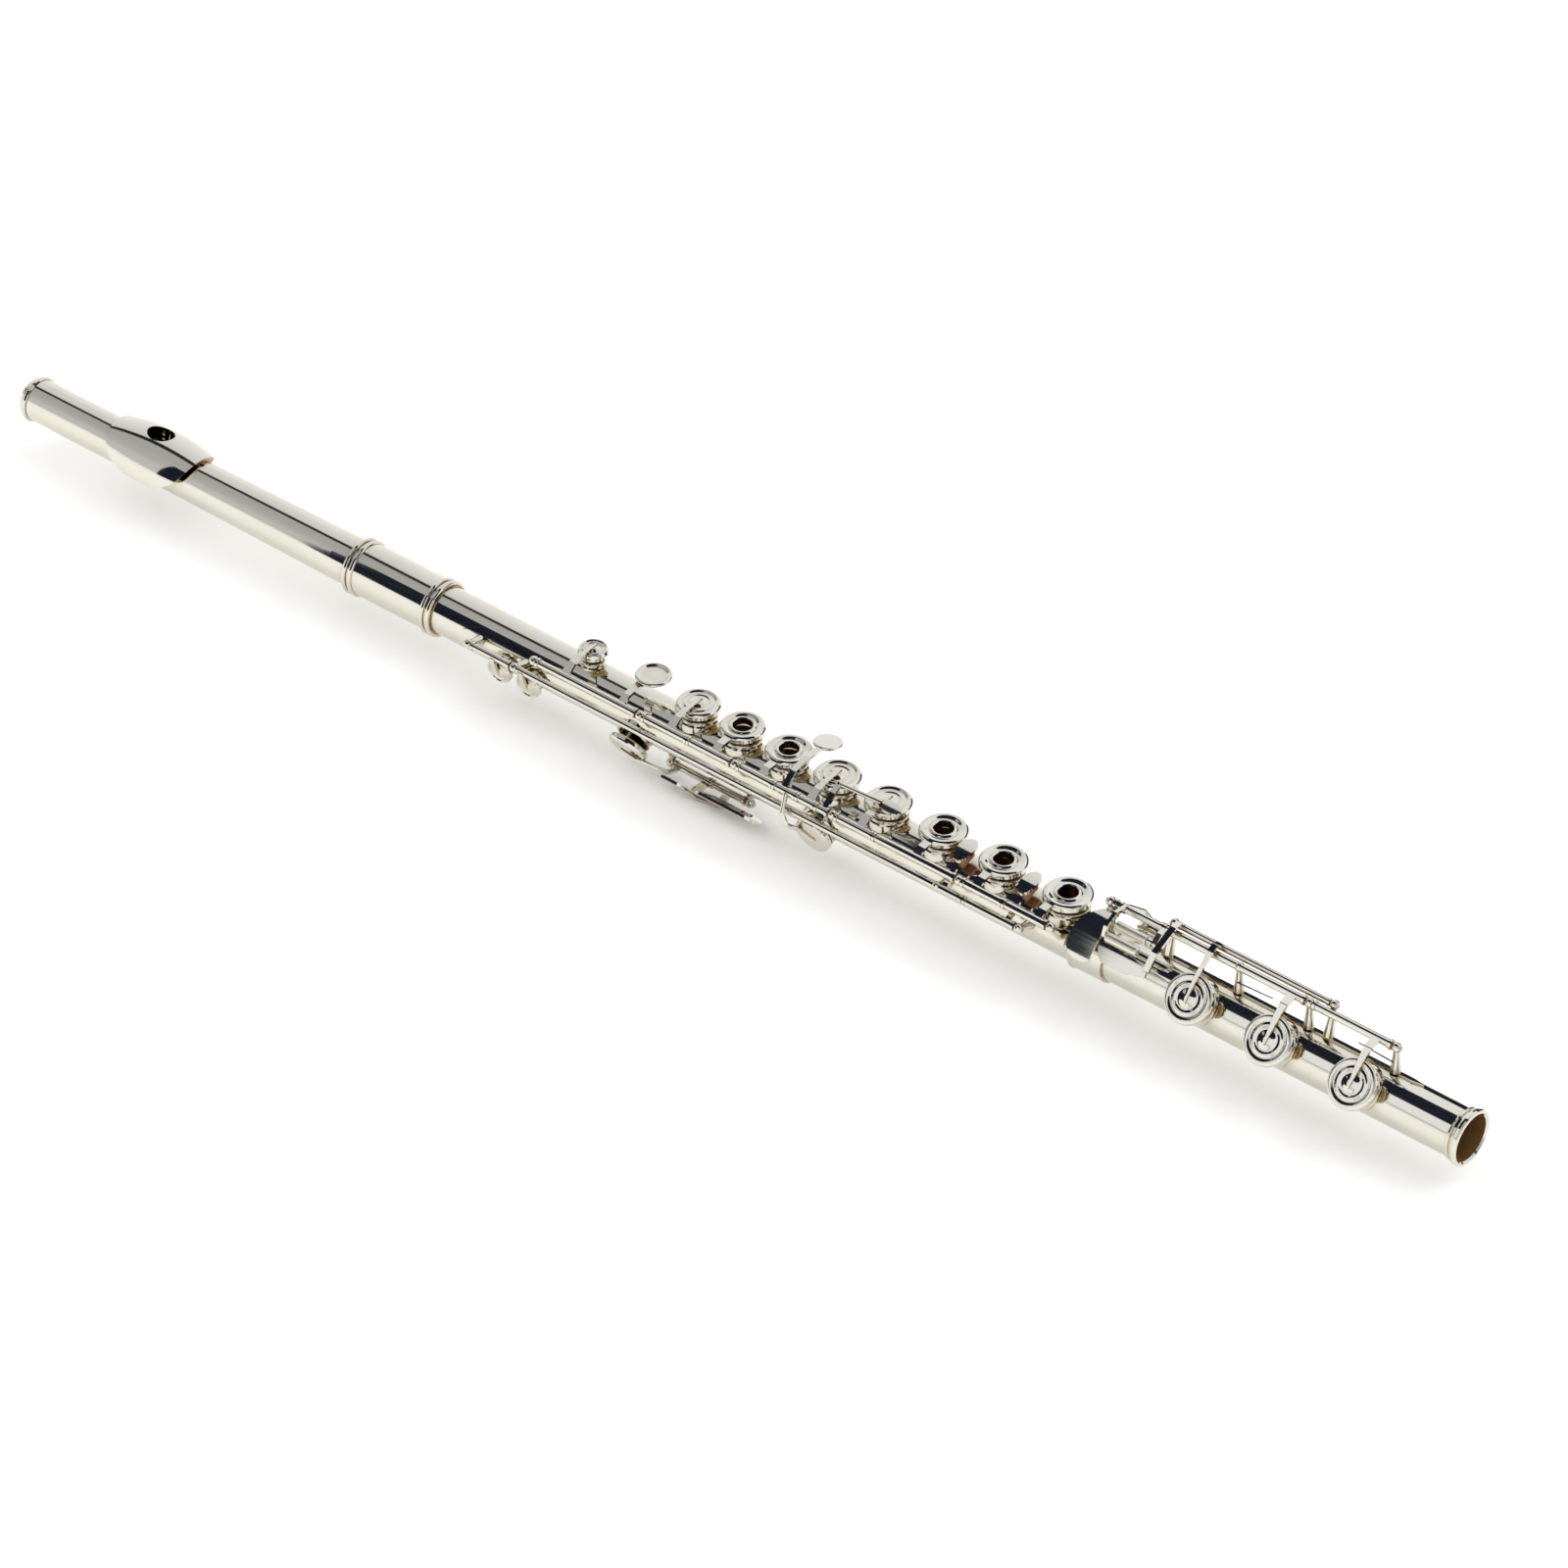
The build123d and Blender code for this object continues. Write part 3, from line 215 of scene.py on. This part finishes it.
def cork(name, light, dark):
    """Natural cork: pale granules with dark pores."""
    material, tree, shader = new_material(name)
    place = tree.nodes.new("ShaderNodeTexCoord")
    cells = add(tree, "ShaderNodeTexVoronoi", Scale=900.0)
    tree.links.new(place.outputs["Object"], cells.inputs["Vector"])
    pores = noise(tree, 1500.0, 5.0)
    grains = ramp(tree, cells.outputs["Distance"], [(0.1, dark), (0.45, light), (0.9, light)])
    tree.links.new(mixed(tree, remapped(tree, pores, 0.0, 0.7), grains, dark), shader.inputs["Base Color"])
    tree.links.new(remapped(tree, pores, 0.65, 0.9), shader.inputs["Roughness"])
    bump(tree, shader, cells.outputs["Distance"], 0.4, 0.00015)
    return material


def pale_floor():
    """Matt white paper with a very faint mottle; glossy rays see it darker and warmer, a painted
    reflection.
    """
    material, tree, shader = new_material("pale_floor")
    fibre = noise(tree, 60.0, 4.0)
    paper = mixed(tree, fibre, (0.9, 0.9, 0.895), (0.93, 0.93, 0.925))
    # Painted reflection: glossy rays get a darker, warmer colour than the paper.
    ray = tree.nodes.new("ShaderNodeLightPath")
    seen = mixed(tree, ray.outputs["Is Glossy Ray"], paper, (0.76, 0.745, 0.70))
    tree.links.new(seen, shader.inputs["Base Color"])
    shader.inputs["Roughness"].default_value = 0.85
    return material


SILVER = (0.89, 0.88, 0.83)
WARM_SILVER = (0.84, 0.815, 0.70)
# Colour of the hollows: partly tarnish, partly painted shade and painted reflection of the pads.
CREASE_TARNISH_AND_SHADE = (0.40, 0.28, 0.11)
BORE_RADIUS = 0.00955
TUBE_SILVER = polished_silver("tube_silver", SILVER, WARM_SILVER, CREASE_TARNISH_AND_SHADE, 0.075, bore=BORE_RADIUS)
ROLLER_PALE = (0.97, 0.94, 0.84)
ROLLER_WORN = (0.93, 0.88, 0.74)
ROLLER_SILVER = polished_silver("roller_silver", ROLLER_PALE, ROLLER_WORN, CREASE_TARNISH_AND_SHADE, 0.34, reach=0.0008)
MATERIALS = {
    "silver_plate": polished_silver("silver_plate", SILVER, WARM_SILVER, CREASE_TARNISH_AND_SHADE, 0.075),
    "lip_silver": polished_silver("lip_silver", (0.9, 0.89, 0.845), WARM_SILVER, CREASE_TARNISH_AND_SHADE, 0.06),
    # The key silver's own hollow colour is likewise partly tarnish, partly painted shade.
    "key_silver": polished_silver("key_silver", (0.92, 0.91, 0.86), WARM_SILVER, (0.42, 0.3, 0.15), 0.07),
    "post_silver": polished_silver("post_silver", (0.89, 0.87, 0.8), WARM_SILVER, CREASE_TARNISH_AND_SHADE, 0.09),
    "hinge_steel": ground_steel(),
    "spring_steel": blued_steel(),
    "pad_skin": pad_skin(),
    "cork": cork("cork", (0.62, 0.42, 0.24), (0.3, 0.17, 0.08)),
    "cork_stained": cork("cork_stained", (0.42, 0.2, 0.1), (0.2, 0.08, 0.04)),
}


def dress_frame():
    """Give every node of the frame its finish: its row's material, or its own where it has one."""
    for entry in frame["record"]["subparts"]:
        node = frame["nodes"][entry["node"]]
        for place in node.material_slots:
            place.material = MATERIALS[entry["material_slot"]]
    own = {
        "body_tube": TUBE_SILVER, "foot_tube": TUBE_SILVER,
        "low_c_roller": ROLLER_SILVER, "low_b_roller": ROLLER_SILVER,
    }
    for name, material in own.items():
        for place in frame["nodes"][name].material_slots:
            place.material = material


# The cork blocks under the trill touches
CORK_LENGTH = 0.0050     # along the flute
CORK_THICKNESS = 0.0038
CORK_RADIUS = 0.01440    # from the tube's axis to the block's middle
CORK_TURN = 24.0         # degrees from the top towards the player
CORK_SPREAD = 30.0       # degrees round the tube


def trill_cork(name, body, key, back_from_end):
    """The cork block under a trill key's touch: bent with the tube, tapered, with crumbled edges."""
    centre_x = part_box(key)[1][0] - back_from_end
    block = bmesh.new()
    bmesh.ops.create_cube(block, size=1.0)
    bmesh.ops.subdivide_edges(block, edges=block.edges, cuts=5, use_grid_fill=True)
    for vertex in block.verts:
        across, around, out = vertex.co
        corner = 1 - 0.25 * (abs(across * 2) ** 6 + abs(around * 2) ** 6) * abs(out * 2) ** 6
        crumble = 1 + 0.025 * math.sin(61 * across + 37 * around) * math.sin(47 * out + 23 * around)
        x = centre_x + across * CORK_LENGTH * corner * crumble
        radius = CORK_RADIUS + out * CORK_THICKNESS * (0.94 + 0.12 * abs(around))
        angle = math.radians(CORK_TURN + around * (CORK_SPREAD - 6 * out) * corner * crumble)
        vertex.co = (x, AXIS_Y - radius * math.sin(angle), AXIS_Z + radius * math.cos(angle))
    mesh = bpy.data.meshes.new(name)
    block.to_mesh(mesh)
    block.free()
    mesh.materials.append(MATERIALS["cork_stained"])
    piece = bpy.data.objects.new(name, mesh)
    bpy.context.scene.collection.objects.link(piece)
    smooth = piece.modifiers.new("smooth", "SUBSURF")
    smooth.levels = smooth.render_levels = 1
    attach(piece, body)


def stage_mesh(name, vertices, faces, material):
    mesh = bpy.data.meshes.new(name)
    mesh.from_pydata(vertices, [], faces)
    mesh.materials.append(material)
    thing = bpy.data.objects.new(name, mesh)
    bpy.context.scene.collection.objects.link(thing)
    return thing


FLOOR_REACH = 8.0
FLOOR_LEVEL = -0.0001    # just under the lowest piece


def build_floor():
    turns = ((-1, -1), (1, -1), (1, 1), (-1, 1))
    corners = [(x * FLOOR_REACH, y * FLOOR_REACH, FLOOR_LEVEL) for x, y in turns]
    stage_mesh("floor", corners, [(0, 1, 2, 3)], pale_floor())


CARD_RADIUS = 0.30       # from the tube's axis
CARD_STEPS = 12
# Where the cards run: place along the flute, then their two edges as angles from the top towards the player
BLACK_CARD = [
    (-0.394, 82.0, 84.0), (-0.346, 38.0, 84.0), (-0.050, 38.0, 84.0), (-0.030, -10.0, 84.0),
    (0.056, -10.0, 84.0), (0.060, -10.0, 39.0), (0.420, -10.0, 39.0),
]
FAR_BLACK_CARD = [(0.060, -110.0, -58.0), (0.420, -110.0, -58.0)]
WHITE_CARD = [(0.062, 40.0, 74.0), (0.420, 40.0, 74.0)]
FAR_WHITE_CARD = [(0.060, -57.0, -11.0), (0.420, -57.0, -11.0)]


def card_material(name, first, second, glow):
    """Painted board with a faint mottle, which may give off its own light."""
    material, tree, shader = new_material(name)
    mottle = noise(tree, 40.0, 3.0)
    colour = mixed(tree, mottle, first, second)
    if glow:
        shader.inputs["Base Color"].default_value = (0.0, 0.0, 0.0, 1.0)
        tree.links.new(colour, shader.inputs["Emission Color"])
        shader.inputs["Emission Strength"].default_value = glow
    else:
        tree.links.new(colour, shader.inputs["Base Color"])
    shader.inputs["Roughness"].default_value = 1.0
    shader.inputs["Specular IOR Level"].default_value = 0.0
    return material


def curved_card(name, stations, material):
    """A studio card off camera, bent round the flute, that only its reflections show."""
    vertices = []
    for x, low, high in stations:
        for step in range(CARD_STEPS + 1):
            angle = math.radians(low + (high - low) * step / CARD_STEPS)
            y = AXIS_Y - CARD_RADIUS * math.sin(angle)
            z = AXIS_Z + CARD_RADIUS * math.cos(angle)
            vertices.append((x, y, z))
    faces = []
    for row in range(len(stations) - 1):
        for step in range(CARD_STEPS):
            first = row * (CARD_STEPS + 1) + step
            above = first + CARD_STEPS + 1
            faces.append((first, first + 1, above + 1, above))
    card = stage_mesh(name, vertices, faces, material)
    card.visible_camera = False
    card.visible_diffuse = False
    card.visible_shadow = False
    card.visible_transmission = False


def build_cards():
    black = card_material("card_black", (0.004, 0.005, 0.010), (0.010, 0.013, 0.024), 0.0)
    white = card_material("card_white", (0.97, 0.97, 0.96), (1.0, 1.0, 0.99), 0.84)
    curved_card("black_card", BLACK_CARD, black)
    curved_card("far_black_card", FAR_BLACK_CARD, black)
    curved_card("white_card", WHITE_CARD, white)
    curved_card("far_white_card", FAR_WHITE_CARD, white)


# The studio seen in the silver: angle from the top towards the player in degrees, and brightness
BOXES = [
    (-180, 0.98), (-125, 0.96), (-80, 0.88), (-40, 0.74), (-18, 0.66), (-9, 0.62), (-7, 0.02), (3, 0.02),
    (5, 0.4), (24, 0.4), (48, 0.46), (62, 0.54), (80, 0.56), (86, 0.94), (180, 0.98),
]
BOX_TINT = (1.0, 0.99, 0.965)


def build_world():
    """A soft studio: pale everywhere for plain light, with soft boxes and dark gaps in the reflections."""
    world = bpy.data.worlds.new("studio")
    world.use_nodes = True
    bpy.context.scene.world = world
    tree = world.node_tree
    tree.nodes.clear()
    place = tree.nodes.new("ShaderNodeTexCoord")
    split = tree.nodes.new("ShaderNodeSeparateXYZ")
    tree.links.new(place.outputs["Generated"], split.inputs["Vector"])
    towards_player = add(tree, "ShaderNodeMath", operation="MULTIPLY")
    towards_player.inputs[1].default_value = -1.0
    tree.links.new(split.outputs["Y"], towards_player.inputs[0])
    angle = add(tree, "ShaderNodeMath", operation="ARCTAN2")
    tree.links.new(towards_player.outputs[0], angle.inputs[0])
    tree.links.new(split.outputs["Z"], angle.inputs[1])
    turn = remapped(tree, angle.outputs[0], 0.0, 1.0, -math.pi, math.pi)
    stops = [(0.5 + degrees / 360, tuple(level * part for part in BOX_TINT)) for degrees, level in BOXES]
    boxes = ramp(tree, turn, stops)
    shiny = add(tree, "ShaderNodeBackground", Strength=1.0)
    tree.links.new(boxes, shiny.inputs["Color"])
    plain = add(tree, "ShaderNodeBackground", Strength=1.08)
    plain.inputs["Color"].default_value = (1.0, 1.0, 0.995, 1.0)
    ray = tree.nodes.new("ShaderNodeLightPath")
    choice = tree.nodes.new("ShaderNodeMixShader")
    out = tree.nodes.new("ShaderNodeOutputWorld")
    tree.links.new(ray.outputs["Is Glossy Ray"], choice.inputs["Fac"])
    tree.links.new(plain.outputs[0], choice.inputs[1])
    tree.links.new(shiny.outputs[0], choice.inputs[2])
    tree.links.new(choice.outputs[0], out.inputs["Surface"])


def area_light(name, place, target, size, power, colour=(1.0, 1.0, 1.0)):
    light = bpy.data.lights.new(name, "AREA")
    light.shape = "RECTANGLE"
    light.size, light.size_y = size
    light.energy = power
    light.color = colour
    lamp = bpy.data.objects.new(name, light)
    lamp.location = place
    lamp.rotation_euler = (Vector(target) - Vector(place)).to_track_quat("-Z", "Y").to_euler()
    bpy.context.scene.collection.objects.link(lamp)
    lamp.visible_glossy = False
    return lamp


def build_lights():
    area_light("key_light", (0.9, 1.1, 1.5), (0, 0, 0), (1.6, 1.2), 9.0)
    area_light("fill_light", (-0.9, -0.9, 1.2), (0, 0, 0), (1.4, 1.0), 6.0, (1.0, 0.985, 0.96))


def build_camera():
    forward = Vector(CAMERA_FORWARD).normalized()
    right = forward.cross(Vector(CAMERA_UP)).normalized()
    up = right.cross(forward)
    camera = bpy.data.cameras.new("camera")
    camera.sensor_width = SENSOR
    camera.lens = LENS
    camera.clip_end = 50.0
    eye = bpy.data.objects.new("camera", camera)
    turn = Matrix((right, up, -forward)).transposed().to_4x4()
    eye.matrix_world = Matrix.Translation(Vector(CAMERA_PLACE)) @ turn
    bpy.context.scene.collection.objects.link(eye)
    bpy.context.scene.camera = eye


dress_frame()
trill_cork("d_trill_cork", "d_trill", "d_trill_key", 0.0096)
trill_cork("d_sharp_trill_cork", "d_sharp_trill", "d_sharp_trill_key", 0.0039)
build_floor()
build_cards()
build_world()
build_lights()
build_camera()
bpy.context.scene.view_settings.view_transform = "Standard"
